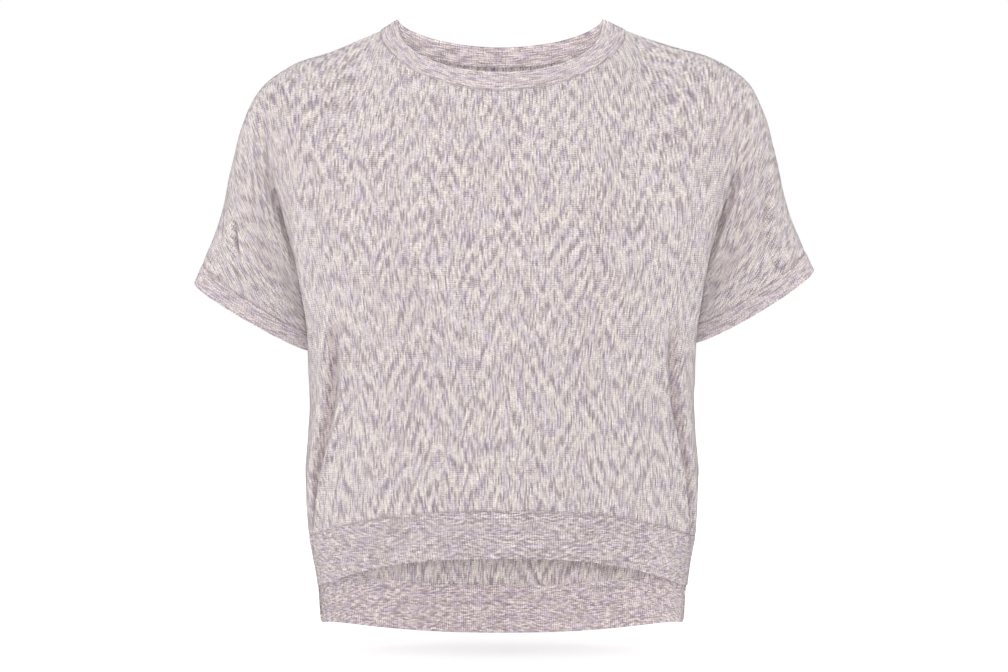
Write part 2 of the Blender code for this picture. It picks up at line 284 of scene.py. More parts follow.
# Folds laid on the form: a curve through three (across, up) places, then width and depth. A positive
# depth stands out as a ridge, a negative one sinks as a trough.
FOLD_COLUMNS = "panel side a0 u0 a1 u1 a2 u2 width depth"
FOLDS = (
    # the sleeve's fold behind the torso, under each arm
    ("front", "left", 1.09, 0.50, 1.04, 0.22, 1.01, 0.02, 9.5, -5.2),
    ("front", "right", 1.09, 0.50, 1.04, 0.24, 1.01, 0.02, 10, -5.4),
    ("front", "left", 0.98, 0.44, 0.94, 0.18, 0.92, -0.06, 6, 2.8),
    ("front", "right", 0.98, 0.46, 0.94, 0.20, 0.92, -0.06, 6, 2.8),
    # drape down each side of the front: the trough and the crisper ridge inside it
    ("front", "left", 0.665, -0.20, 0.765, -0.62, 0.92, -1.06, 12, -9.5),
    ("front", "right", 0.68, -0.22, 0.77, -0.62, 0.90, -1.06, 10, -9.0),
    ("front", "left", 0.60, -0.20, 0.68, -0.62, 0.84, -1.06, 4.5, 4.2),
    ("front", "right", 0.62, -0.22, 0.705, -0.62, 0.83, -1.06, 4.5, 4.0),
    # pinches beside the overarm seam
    ("front", "left", 1.60, 0.73, 1.70, 0.695, 1.82, 0.64, 4, -4.6),
    ("front", "left", 1.58, 0.80, 1.70, 0.775, 1.84, 0.73, 6, 2.4),
    ("front", "left", 1.56, 0.64, 1.68, 0.60, 1.80, 0.55, 7, 1.2),
    ("front", "left", 1.82, 0.79, 1.91, 0.83, 1.99, 0.85, 3.5, -2.6),
    ("front", "right", 1.36, 0.76, 1.58, 0.655, 1.80, 0.63, 4.5, -3.8),
    ("front", "right", 1.80, 0.645, 1.90, 0.66, 1.98, 0.69, 3.5, -3.0),
    ("front", "right", 1.46, 0.79, 1.62, 0.73, 1.84, 0.72, 6, 2.0),
    # long soft ones over the sleeve
    ("front", "left", 1.15, 0.75, 1.40, 0.50, 1.70, 0.30, 15, -1.6),
    ("front", "left", 1.30, 0.25, 1.55, 0.18, 1.85, 0.15, 12, -1.5),
    ("front", "right", 1.15, 0.70, 1.45, 0.45, 1.80, 0.28, 15, -1.5),
    ("front", "right", 1.25, 0.30, 1.50, 0.20, 1.80, 0.12, 13, -1.6),
    # the front's soft drape
    ("front", "left", 0.40, 0.55, 0.36, -0.05, 0.38, -0.85, 22, -1.2),
    ("front", "right", 0.34, 0.45, 0.33, -0.15, 0.30, -0.75, 24, -1.1),
    ("front", "left", 0.12, 0.10, 0.14, -0.40, 0.10, -0.95, 22, 0.9),
    # the back: the arms' folds, the sides' drape and the soft drape from the shoulders
    ("back", "left", 1.08, 0.60, 1.03, 0.30, 1.00, 0.03, 9, -4.5),
    ("back", "right", 1.07, 0.56, 1.03, 0.28, 1.00, 0.03, 9, -4.5),
    ("back", "left", 0.70, 0.45, 0.78, -0.10, 0.84, -0.70, 13, -2.6),
    ("back", "right", 0.74, 0.50, 0.80, -0.15, 0.82, -0.80, 12, -2.4),
    ("back", "left", 0.48, 0.60, 0.46, 0.05, 0.52, -0.80, 20, -1.8),
    ("back", "right", 0.42, 0.55, 0.44, -0.05, 0.40, -0.70, 22, -1.6),
    ("back", "left", 0.16, 0.30, 0.18, -0.30, 0.15, -0.90, 22, 1.3),
    ("back", "left", 1.45, 0.78, 1.60, 0.60, 1.80, 0.45, 10, -1.8),
    ("back", "right", 1.40, 0.75, 1.60, 0.55, 1.85, 0.42, 11, -1.9),
)
FOLD_SAMPLES = 40
FOLD_REACH = 3  # in widths
FOLD_LIP = 0.75  # of the low swell on both sides of a trough
FOLD_FADE = 0.45  # power of the rise from a fold's ends
FOLD_END = 0.001  # the least share of the way from an end that the fade takes
FACING_SLACK, FACING_SPREAD = 0.1, 0.5  # a fold fades where the form turns away from it

# Uneven cloth: soft drape that is stronger toward the hem, crumple, and pucker beside the seams.
DRAPE = dict(depth=1.1, across=48, down=190, seed=3.7, least=0.4, start=120, spread=260)
CRUMPLE = dict(depth=0.55, size=26, seed=11.3)
PUCKER = dict(depth=0.35, size=5.5, seed=23.1, reach=6)

# The knit, in millimetres: a stitch across (two strands) and along the wales, the dye's repeat along a
# strand, the width of a chevron's arm and the spacing of the bands across it, how far the wales lean,
# and a fleck's length. Then the shares of each strand's own repeat, of the shared bands and of the
# flecks, and in repeats how far the bands sway, how loosely strands keep to them and how far a strand's
# own repeat wobbles. Then the painted shade of the stitches' relief along the courses, its extra in dark
# strokes and between the wales, the random grain of each half stitch, how many courses they bow, and
# the painted light that makes the inner skin lighter. Colours are the dyed yarn's, from its darkest strokes up.
KNITS = {
    "marl_jersey": dict(
        wale=2.9, course=1.95, dye=25, chevron=42, band=14, lean=2.0, fleck=6,
        own=0.32, shared=0.38, fine=0.82, sway=0.25, loose=0.45, wobble=0.9,
        course_relief=0.05, stipple=0.38, wale_relief=0.08, grain=0.42, bow=2.2, reverse=0.31,
        colours=((0.12, (160, 149, 153)), (0.34, (182, 172, 176)), (0.48, (201, 193, 193)),
                 (0.62, (211, 205, 202)), (0.86, (219, 213, 209)))),
    "marl_band": dict(
        wale=2.0, course=2.5, dye=14, chevron=30, band=14, lean=0.3, fleck=6,
        own=0.30, shared=0.04, fine=1.1, sway=0.2, loose=0.6, wobble=1.2,
        course_relief=0.26, stipple=0.1, wale_relief=0.05, grain=0.58, bow=0.8, reverse=0.40,
        colours=((0.12, (159, 148, 151)), (0.34, (176, 165, 168)), (0.48, (193, 183, 185)),
                 (0.62, (206, 197, 198)), (0.86, (218, 210, 209)))),
    "marl_trim": dict(
        wale=2.4, course=2.5, dye=26, chevron=40, band=14, lean=0.6, fleck=9,
        own=0.27, shared=0.05, fine=0.72, sway=0.2, loose=0.6, wobble=1.0,
        course_relief=0.05, stipple=0.1, wale_relief=0.1, grain=0.40, bow=0.8, reverse=0.42,
        colours=((0.12, (168, 156, 160)), (0.34, (184, 173, 177)), (0.48, (201, 191, 193)),
                 (0.62, (213, 204, 204)), (0.86, (223, 216, 215)))),
}
TINTS = ((0.2, (249, 247, 254)), (0.5, (255, 254, 254)), (0.8, (255, 254, 252)))

# Smooth variation over the knit: the sizes across and along the wales of its patches, and its seed.
PATCHES = {
    "lean": (55, 45, 61.0),
    "wobble": (0.45, 50, 11.0),
    "chevron": (90, 80, 8.0),
    "sway": (40, 40, 21.0),
    "strength": (26, 30, 31.0),
    "tint": (8, 20, 31.0),
    "bow": (24, 50, 41.0),
}
BAND_STRENGTH, STRENGTH_SPREAD = 0.7, 1.1  # how clearly the shared bands show, and how far that varies
FLECK_SHIFT = 7.3  # flecks, between strands
LEG_SLOPE = 0.8  # how far a stitch's legs rise to its sides, in courses
GROOVE_PLACE = 0.25  # share of a wale
WAVE_SHARE = 0.5  # of the courses in the bump, beside the wales
FUZZ = dict(scale=1400.0, detail=2.0, share=0.5)
BUMP = dict(depth=0.35, strength=0.6)
FIBRE = {"Roughness": 0.92, "Diffuse Roughness": 1.0, "Specular IOR Level": 0.2,
         "Sheen Weight": 0.2, "Sheen Roughness": 0.6}

# Painted shade: where the cloth lies hollow, in a trough or in a seam's groove, its colour is painted a little darker
# and pinker, most of all on the outer skin.
PAINTED_SHADE_DEPTH = 4.0  # of a trough with the whole tint
PAINTED_SHADE_POWER = 1.5
PAINTED_SHADE_INSIDE = 0.4
SEAM_SHADE = 0.75
PAINTED_SHADE_TINT = (0.77, 0.72, 0.73, 1)
WHITE = (1, 1, 1, 1)
MIX_NUMBERS, MIX_COLOURS = (2, 3), (6, 7)  # a mix node's sockets for two numbers and for two colours

# The parts of a shell, then where each skin starts in the baked picture and the share that it takes.
OUTER, INNER, RIM = range(3)
BAKE_OUTER = (0.01, 0.72)
BAKE_INNER = (0.75, 0.24)
BAKE_ACROSS = (0.01, 0.98)

AMBIENT = 0.24
FLOOR, FLOOR_HALF_WIDTH = -0.62, 14.0  # metres
FLOOR_GREY, FLOOR_ROUGHNESS = 0.6, 0.9
# The floor's glow to the camera is a painted shadow near the garment: least at the origin, it rises with distance to a
# white floor.
FLOOR_GLOW, FLOOR_RISE = 0.62, 0.6  # what the camera sees at the origin, and its rise with each metre away
MOST_GLOW = 1.1
LIGHTS = (  # name, place, aimed at, size, power, colour: metres and watts
    ("front", (0, -2.64, -0.29), (0, 0, -0.3), 0.35, 31.5, (1, 1, 1)),
    ("high", (0, -2.0, 1.6), (0, 0, -0.2), 1.4, 23.5, (1, 1, 1)),
    ("left", (-2.4, -1.0, -0.1), (0, 0, -0.3), 1.6, 20, (1, 0.94, 0.94)),
    ("right", (2.4, -1.0, -0.1), (0, 0, -0.3), 1.6, 13.5, (1, 0.92, 0.92)),
    ("back", (0, 3.2, 0.5), (0, 0, -0.2), 1.6, 34, (1, 1, 1)),
)

CAMERA_DISTANCE = 2600
CAMERA_LEVEL = -305
SENSOR_WIDTH = 36
SIGHT_END = 60  # metres
FRAME_WIDTH = 1008  # pixels
CENTRE_COLUMN = 502  # the pixel column of the centre line


# ---------------------------------------------------------------- curves
def hermite(start, end, start_reach, end_reach, t):
    """The cubic from start to end whose derivatives at its ends are the two reaches."""
    t2, t3 = t * t, t * t * t
    return ((2 * t3 - 3 * t2 + 1) * start + (t3 - 2 * t2 + t) * start_reach
            + (3 * t2 - 2 * t3) * end + (t3 - t2) * end_reach)


def read(rows, by, column, at):
    """A table's column at `at` along its `by` column, on a smooth curve through the rows."""
    x, y = rows[by], rows[column]
    slope = np.gradient(y, x)
    i = np.clip(np.searchsorted(x, at) - 1, 0, len(x) - 2)
    step = x[i + 1] - x[i]
    t = np.clip((at - x[i]) / step, 0, 1)
    return hermite(y[i], y[i + 1], slope[i] * step, slope[i + 1] * step, t)


def point(out, y, level):
    """Points as one array whose last axis is (out, y, level)."""
    return np.stack(np.broadcast_arrays(np.asarray(out, float), y, level), axis=-1)


def smooth_step(t):
    t = np.clip(t, 0, 1)
    return t * t * (3 - 2 * t)


# ---------------------------------------------------------------- the outline's lines
def overarm(side, share):
    """Points at a share of the way along the shoulder and overarm seam."""
    rows = OVERARM[side]
    steps = np.hypot(np.diff(rows["out"]), np.diff(rows["level"]))
    along = dict(rows, share=np.concatenate(([0], np.cumsum(steps))) / steps.sum())
    return point(*(read(along, "share", name, share) for name in ("out", "y", "level")))


def torso_section(panel, turn, level):
    """Points on the torso: turn is 0 at the centre line and a right angle at the side seam."""
    sizes, power = PANELS[panel], 2 / SQUARENESS
    out = read(TORSO, "level", "half_width", level) * np.sin(turn) ** power
    depth = read(TORSO, "level", panel, level) * np.maximum(np.cos(turn), 0) ** power
    at_side = smooth_step((turn - TUCK_TURN) / (math.pi / 2 - TUCK_TURN))
    out = out - TUCK * at_side * np.exp(-((level - TUCK_LEVEL) / TUCK_SPREAD) ** 2)
    opening = smooth_step((SIDE_SEAM_END - level) / (SIDE_SEAM_END - FRONT_HEM_END))
    return point(out, sizes["toward"] * (depth + VENT * opening * np.sin(turn) ** 4), level)


def turn_at(panel, share, samples=400):
    """The turn at a share of the underarm section's length, from the centre line to the side."""
    turns = np.linspace(0, math.pi / 2, samples)
    steps = np.linalg.norm(np.diff(torso_section(panel, turns, UNDERARM_LEVEL), axis=0), axis=1)
    length = np.concatenate(([0], np.cumsum(steps)))
    return np.interp(share, length / length[-1], turns)


def neck_line(panel, side, line, share):
    """Points on the neckband's `seam` or `edge`: share is 0 at the centre line, 1 at the side."""
    sizes, turn = PANELS[panel], np.asarray(share) * math.pi / 2
    depth, centre_level, power = sizes["neck_" + line]
    side_level = NECK_EDGE_RISE if line == "edge" else 0
    cos = np.maximum(np.cos(turn), 0)
    return point(SIDES[side]["neck_" + line] * np.sin(turn), sizes["toward"] * depth * cos,
                 side_level + (centre_level - side_level) * cos ** power)


def hem_line(panel, line, turn):
    """Levels of the hem band's `seam` or `edge` at each turn round the torso."""
    centre, side = PANELS[panel]["hem_" + line]
    return centre + (side - centre) * np.sin(turn) ** (PANELS[panel]["hem_power"] * 2 / SQUARENESS)


# ---------------------------------------------------------------- surfaces
def panel_surface(panel, side, across, up):
    """Points of a panel's middle surface, for arrays of its two shares."""
    below = lower_surface(panel, across, np.maximum(-up, 0))
    above = upper_surface(panel, side, across, np.maximum(up, 0))
    return np.where((up < 0)[..., None], below, above)


def lower_surface(panel, across, down):
    """From the underarm level at down = 0 to the hem seam at down = 1."""
    turn = turn_at(panel, np.minimum(across, 1))
    drop = UNDERARM_LEVEL - hem_line(panel, "seam", turn)
    return torso_section(panel, turn, UNDERARM_LEVEL - drop * down)


def upper_surface(panel, side, across, up):
    """From the underarm level and underarm seam to the neckline, shoulder and overarm seam."""
    toward = PANELS[panel]["toward"]
    turn, along = turn_at(panel, np.minimum(across, 1)), np.clip(across - 1, 0, 1)
    foot = torso_section(panel, turn, UNDERARM_LEVEL)
    rise = torso_section(panel, turn, UNDERARM_LEVEL + 1) - foot
    armpit = torso_section(panel, math.pi / 2, UNDERARM_LEVEL)
    underarm = hermite(armpit, np.array(SIDES[side]["underarm"]), np.array(UNDERARM_LEAVE),
                       np.array(UNDERARM_ARRIVE), along[..., None])
    foot = np.where((across > 1)[..., None], underarm, foot)

    on_neck = neck_line(panel, side, "seam", np.minimum(across / NECK_SHARE, 1))
    on_shoulder = ARMHOLE_ON_OVERARM * np.clip((across - NECK_SHARE) / (1 - NECK_SHARE), 0, 1)
    on_overarm = overarm(side, on_shoulder + (1 - ARMHOLE_ON_OVERARM) * along)
    top = np.where((across < NECK_SHARE)[..., None], on_neck, on_overarm)

    reach = {name: read(REACH, "across", name, across) for name in REACH}
    dip = 4 * toward * SIDES[side]["dip"] * reach["dip"]
    extra = point(reach["foot_out"], toward * reach["foot_forward"], dip)
    leave = rise * reach["foot_up"][..., None] + extra
    arrive = point(-reach["top_in"], -toward * reach["top_back"], reach["top_up"] - dip)
    return hermite(foot, top, leave, arrive, up[..., None])


def sleeve_end(side, panel, along, up):
    """The cuff: along is 0 at its seam and 1 at its free edge, up as on the panel."""
    toward, sizes = PANELS[panel]["toward"], SIDES[side]
    bulge = 4 * toward * np.array([0, CUFF_HALF_DEPTH, sizes["dip"]])
    bottom, top = np.array(sizes["cuff_bottom"]), np.array(sizes["cuff_top"])
    edge = hermite(bottom, top, bulge, -bulge, up[..., None])
    seam = upper_surface(panel, side, np.full_like(up, 2), up)
    return seam + (edge - seam) * along[..., None]


def neck_band(panel, side, around, rise):
    """The neckband: rise is 0 at its seam and 1 at its free edge."""
    seam, edge = (neck_line(panel, side, line, around) for line in ("seam", "edge"))
    return seam + (edge - seam) * rise[..., None]


# ---------------------------------------------------------------- the flat cut
def flat_panel(panel, side, across, grid):
    """Places in the panel's flat cut for a grid whose rows run up from its foot."""
    run = np.cumsum(np.linalg.norm(np.diff(grid, axis=0, prepend=grid[:1]), axis=2), axis=0)
    length, share = run[-1], run / run[-1]
    around = along_rows(grid[..., :2])
    straight = np.stack((around, UNDERARM_LEVEL + run), axis=-1)
    half, neck_out = half_section(panel), SIDES[side]["neck_seam"]
    foot = np.stack((half * np.minimum(across, 1), np.full_like(across, UNDERARM_LEVEL)), axis=-1)
    past = np.clip(across - 1, 0, 1)
    foot += past[:, None] * (np.array(FLAT_CUFF_BOTTOM) - (half, UNDERARM_LEVEL))
    neck_point = np.array((neck_out, UNDERARM_LEVEL + length[np.abs(across - NECK_SHARE).argmin()]))
    reach = np.array((math.cos(FLAT_SHOULDER_SLOPE), -math.sin(FLAT_SHOULDER_SLOPE)))
    reach = reach * FLAT_SHOULDER_REACH
    on_overarm = ARMHOLE_ON_OVERARM * np.clip((across - NECK_SHARE) / (1 - NECK_SHARE), 0, 1)
    on_overarm = (on_overarm + (1 - ARMHOLE_ON_OVERARM) * past)[:, None]
    top = hermite(neck_point, np.array(FLAT_CUFF_TOP), reach, reach, on_overarm)
    turned = foot + (top - foot) * share[..., None]
    toward_sleeve = smooth_step((across - FLAT_TURN_START) / FLAT_TURN_SPREAD)[:, None]
    return straight + (turned - straight) * toward_sleeve


def half_section(panel, samples=200):
    """Length of the torso's underarm section, from the centre line to the side."""
    points = torso_section(panel, np.linspace(0, math.pi / 2, samples), UNDERARM_LEVEL)
    return np.linalg.norm(np.diff(points, axis=0), axis=1).sum()


def along_rows(grid):
    """Distance along each row of a grid, from its first column."""
    return np.cumsum(np.linalg.norm(np.diff(grid, axis=1, prepend=grid[:, :1]), axis=2), axis=1)


# ---------------------------------------------------------------- facets
class Sheet:
    """Quads of one piece's middle surface that face out of the garment, with their flat places."""

    def __init__(self):
        self.points, self.quads, self.flats, self.index = [], [], [], {}

    def corner(self, position):
        """The number of the corner at this position, a new one where there is none yet."""
        key = tuple(position)
        if key not in self.index:
            self.index[key] = len(self.points)
            self.points.append(key)
        return self.index[key]

    def add_grid(self, side, grid, flat, facing_out):
        """Quads for a grid of one side, the left one mirrored."""
        mirror = -1 if side == "left" else 1
        places = np.round(grid, 4) * (mirror, 1, 1) + 0.0
        flat = flat * (mirror, 1)
        corners = [[self.corner(position) for position in row] for row in places]
        for r in range(len(corners) - 1):
            for c in range(len(corners[0]) - 1):
                ring = ((r, c), (r, c + 1), (r + 1, c + 1), (r + 1, c))
                ring = ring if facing_out else ring[::-1]
                self.quads.append([corners[i][j] for i, j in ring])
                self.flats.append([flat[i, j] for i, j in ring])

    def close(self):
        self.points = np.array(self.points)
        self.quads = np.array(self.quads)
        self.flats = np.array(self.flats)
        return self


def winding(side, panel):
    """True where columns that run outward and rows that run up face out of the garment."""
    return (side == "right") == (panel == "front")


def stepped(start, end, count, length, at_start=True, at_end=True):
    """Evenly spaced values, with closer ones beside a seam. The length is the whole stretch's."""
    values = list(np.linspace(start, end, count + 1))
    run = end - start
    for step in SEAM_STEPS:
        if at_start:
            values.append(start + run * step / length)
        if at_end:
            values.append(end - run * step / length)
    values = np.array(sorted(values))
    keep = [values[0]]
    for value in values[1:-1]:
        if min(value - keep[-1], end - value) > CLOSEST_ROWS * SEAM_STEPS[0] * run / length:
            keep.append(value)
    return np.array(keep + [values[-1]])


def torso_columns():
    """Places across the torso, with one at the neck point and close ones beside the side seam."""
    neck = np.linspace(0, NECK_SHARE, NECK_STEPS + 1)
    body = stepped(NECK_SHARE, 1, BODY_STEPS, BODY_RUN, at_start=False)
    return np.concatenate((neck, body[1:]))


def panel_sheet(panel):
    sheet = Sheet()
    torso = torso_columns()
    sleeve = stepped(1, 2, SLEEVE_STEPS, SLEEVE_RUN, at_start=False)[1:]
    full = np.concatenate((torso, sleeve))
    above = stepped(0, 1, ABOVE_STEPS, ABOVE_RUN)
    shared = -(UNDERARM_LEVEL - SIDE_SEAM_END) / (UNDERARM_LEVEL - PANELS[panel]["hem_seam"][1])
    has_tail = panel == "back"
    below = stepped(shared, 0, BELOW_STEPS, BELOW_RUN[panel], at_start=not has_tail, at_end=False)
    if has_tail:
        tail = stepped(-1, shared, TAIL_STEPS, TAIL_RUN, at_end=False)
        below = np.concatenate((tail[:-1], below))
    for side in SIDES:
        outward = winding(side, panel)
        grid = panel_surface(panel, side, *np.meshgrid(torso, below))
        around = np.broadcast_to(half_section(panel) * torso, grid.shape[:2])
        flat = np.stack((around, grid[..., 2]), axis=-1)
        sheet.add_grid(side, grid, flat, outward)
        grid = panel_surface(panel, side, *np.meshgrid(full, above))
        sheet.add_grid(side, grid, flat_panel(panel, side, full, grid), outward)
    return sheet.close()


def hem_band_sheet(panel):
    sheet = Sheet()
    torso = torso_columns()
    turn = turn_at(panel, torso)
    start, rise = BAND_CORNER[panel]
    from_side = half_section(panel) * (1 - torso)
    bend = np.clip(1 - from_side / start, 0, 1) ** 2 * CORNER_BEND
    rounding = rise * (1 - np.sqrt(1 - bend))
    for side in SIDES:
        across, down = np.meshgrid(torso, stepped(0, 1, HEM_STEPS, HEM_RUN)[::-1])
        seam, edge = hem_line(panel, "seam", turn), hem_line(panel, "edge", turn) + rounding
        grid = torso_section(panel, turn_at(panel, across), seam + (edge - seam) * down)
        flat = np.stack((half_section(panel) * across, grid[..., 2]), axis=-1)
        sheet.add_grid(side, grid, flat, winding(side, panel))
    return sheet.close()


def neckband_sheet():
    sheet = Sheet()
    columns = torso_columns()[:NECK_STEPS + 1] / NECK_SHARE
    around, rise = np.meshgrid(columns, stepped(0, 1, TRIM_STEPS, TRIM_RUN))
    for panel in PANELS:
        for side in SIDES:
            grid = neck_band(panel, side, around, rise)
            run = along_rows(grid)
            run = run if panel == "front" else NECK_HALF_RING - run
            flat = np.stack((run, rise * NECK_FLAT_DEPTH), axis=-1)
            sheet.add_grid(side, grid, flat, winding(side, panel))
    return sheet.close()


def cuff_sheet(side):
    sheet = Sheet()
    along, up = np.meshgrid(stepped(0, 1, TRIM_STEPS, TRIM_RUN), stepped(0, 1, ABOVE_STEPS, ABOVE_RUN))
    for panel in PANELS:
        grid = sleeve_end(side, panel, along, up)
        girth = CUFF_HALF_RING * (1 - up) * PANELS[panel]["toward"]
        sheet.add_grid(side, grid, np.stack((girth, along * TRIM_RUN), axis=-1), winding(side, panel))
    return sheet.close()


# ---------------------------------------------------------------- walls
def unit(vectors):
    return vectors / np.maximum(np.linalg.norm(vectors, axis=-1, keepdims=True), 1e-9)


def tree_of(points):
    tree = KDTree(len(points))
    for i, position in enumerate(points):
        tree.insert(position, i)
    tree.balance()
    return tree


def border(sheet):
    """The directed edges that only one quad has, as an array of corner pairs."""
    pairs = np.concatenate([sheet.quads[:, (i, (i + 1) % 4)] for i in range(4)])
    pairs = pairs[pairs[:, 0] != pairs[:, 1]]
    count = len(sheet.points)
    keys, back = pairs[:, 0] * count + pairs[:, 1], pairs[:, 1] * count + pairs[:, 0]
    return pairs[~np.isin(keys, back)]


def own_totals(sheet):
    """At each corner, the sum of what its quads face, weighted by their areas."""
    a, b, c, d = (sheet.points[sheet.quads[:, i]] for i in range(4))
    facing = np.cross(c - a, d - b)
    totals = np.zeros_like(sheet.points)
    for i in range(4):
        np.add.at(totals, sheet.quads[:, i], facing)
    return totals


class Seams:
    """Which border corners of all the sheets lie at one place. Found once, on the unfolded form."""

    def __init__(self, sheets):
        self.owners = [(name, i) for name, sheet in sheets.items() for i in np.unique(border(sheet))]
        places = [sheets[name].points[i] for name, i in self.owners]
        tree = tree_of(places)
        self.groups = [[j for _, j, _ in tree.find_range(place, SAME_PLACE)] for place in places]
        self.joined = [len({self.owners[j][0] for j in group}) > 1 for group in self.groups]
        self.tree = tree_of([place for place, joined in zip(places, self.joined) if joined])

    def distance(self, sheet):
        """How far each corner of a sheet lies from the nearest seam."""
        return np.array([self.tree.find(position)[2] for position in sheet.points])

    def normals(self, sheets):
        """Each sheet's directions out of the garment, the same wherever pieces meet."""
        totals = {name: own_totals(sheet) for name, sheet in sheets.items()}
        result = {name: total.copy() for name, total in totals.items()}
        for (name, i), group in zip(self.owners, self.groups):
            result[name][i] = sum(totals[self.owners[j][0]][self.owners[j][1]] for j in group)
        return {name: unit(total) for name, total in result.items()}

    def free(self, name, count):
        """1 at a corner on a free edge, 0 on a seam and inside the sheet."""
        marks = np.zeros(count)
        for (owner, i), joined in zip(self.owners, self.joined):
            if owner == name and not joined:
                marks[i] = 1
        return marks


# ---------------------------------------------------------------- folds
def fold_paths():
    """Each fold as points of a curve on the form, its width, its depth and the points' shares."""
    t = np.linspace(0, 1, FOLD_SAMPLES)
    for row in FOLDS:
        fold = dict(zip(FOLD_COLUMNS.split(), row))
        shares = []
        for first, middle, last in (("a0", "a1", "a2"), ("u0", "u1", "u2")):
            start, mid, end = fold[first], fold[middle], fold[last]
            shares.append(start + (4 * mid - 3 * start - end) * t + 2 * (start - 2 * mid + end) * t * t)
        mirror = -1 if fold["side"] == "left" else 1
        path = panel_surface(fold["panel"], fold["side"], *shares) * (mirror, 1, 1)
        yield path, fold["width"], fold["depth"], t


def fold_heights(points, normals):
    """How far each point moves along its normal for all the folds together."""
    heights = np.zeros(len(points))
    for path, width, depth, t in fold_paths():
        reach = FOLD_REACH * width
        near = np.all((points > path.min(axis=0) - reach) & (points < path.max(axis=0) + reach), axis=1)
        near = np.nonzero(near)[0]
        if not len(near):
            continue
        distances = np.linalg.norm(points[near][:, None] - path[None], axis=2)
        place, q = t[distances.argmin(axis=1)], distances.min(axis=1) / width
        ends = np.sin(np.clip(place, FOLD_END, 1 - FOLD_END) * math.pi) ** FOLD_FADE
        middle = normals[near[distances[:, FOLD_SAMPLES // 2].argmin()]]
        alike = np.clip((normals[near] @ middle + FACING_SLACK) / FACING_SPREAD, 0, 1)
        heights[near] += depth * ends * alike * (1 - FOLD_LIP * q * q) * np.exp(-q * q)
    return heights


def soft_noise(points, size, seed):
    return np.array([noise.noise(Vector(position)) for position in points / size + seed])


def cloth_heights(points, normals, seam_distance):
    """How far each point moves along its normal, and the painted shade that it takes in a seam's groove or a trough, 0
    to 1.
    """
    low = smooth_step((UNDERARM_LEVEL + DRAPE["start"] - points[:, 2]) / DRAPE["spread"])
    drape = soft_noise(points, (DRAPE["across"], DRAPE["across"], DRAPE["down"]), DRAPE["seed"])
    crumple = soft_noise(points, CRUMPLE["size"], CRUMPLE["seed"])
    pucker = soft_noise(points, PUCKER["size"], PUCKER["seed"])
    folds = fold_heights(points, normals)
    # painted shade, darkest in the deepest troughs; the seams' grooves add theirs below
    hollow = np.clip(-folds / PAINTED_SHADE_DEPTH, 0, 1) ** PAINTED_SHADE_POWER
    heights = folds + DRAPE["depth"] * drape * (DRAPE["least"] + low) + CRUMPLE["depth"] * crumple
    heights += PUCKER["depth"] * pucker * np.exp(-seam_distance / PUCKER["reach"])
    groove = np.exp(-(seam_distance / SEAM_WIDTH) ** 2)
    return heights - SEAM_DEPTH * groove, SEAM_SHADE * groove + hollow


# ---------------------------------------------------------------- meshes
def outward_at_border(sheet, normals):
    """Directions out of the sheet at its border corners, square to the border, and 0 elsewhere."""
    outward = np.zeros_like(sheet.points)
    pairs = border(sheet)
    along = sheet.points[pairs[:, 1]] - sheet.points[pairs[:, 0]]
    direction = unit(np.cross(along, unit(normals[pairs[:, 0]] + normals[pairs[:, 1]])))
    for i in (0, 1):
        np.add.at(outward, pairs[:, i], direction)
    return unit(outward) * (np.linalg.norm(outward, axis=1, keepdims=True) > 1e-6)


def shell(name, sheet, normals, free, hollow, wall, material):
    """The piece's closed shell, its rims round where an edge is free and flat at a seam."""
    outward = outward_at_border(sheet, normals)
    middle = sheet.points - outward * SEAM_DRAW
    outer, inner = middle + normals * wall / 2, middle - normals * wall / 2
    count, pairs = len(middle), border(sheet)
    edge = np.unique(pairs)
    at = {corner: k for k, corner in enumerate(edge)}
    rims = []
    for turn in RIM_TURNS:
        turn = math.radians(turn)
        rims.append(middle[edge] + normals[edge] * wall / 2 * math.cos(turn)
                    + outward[edge] * (wall / 2 * math.sin(turn) * free[edge])[:, None])
    points = np.concatenate([outer, inner] + rims) * MM
    faces = [list(quad) for quad in sheet.quads] + [list(quad[::-1] + count) for quad in sheet.quads]
    flats = [list(flat) for flat in sheet.flats] + [list(flat[::-1]) for flat in sheet.flats]
    parts = [OUTER] * len(sheet.quads) + [INNER] * len(sheet.quads)
    flat_at = {}
    for quad, flat in zip(sheet.quads, sheet.flats):
        for i, corner in enumerate(quad):
            if corner in at:
                flat_at.setdefault((corner, quad[(i + 1) % 4]), (flat[i], flat[(i + 1) % 4]))
    ladder = [lambda corner: corner]
    for k in range(len(RIM_TURNS)):
        ladder.append(lambda corner, k=k: 2 * count + k * len(edge) + at[corner])
    ladder.append(lambda corner: corner + count)
    for a, b in pairs:
        flat_a, flat_b = flat_at[(a, b)]
        for upper, lower in zip(ladder, ladder[1:]):
            faces.append([upper(b), upper(a), lower(a), lower(b)])
            flats.append([flat_b, flat_a, flat_a, flat_b])
            parts.append(RIM)
    return mesh_of(name, points, faces, flats, parts, hollow, edge, material)


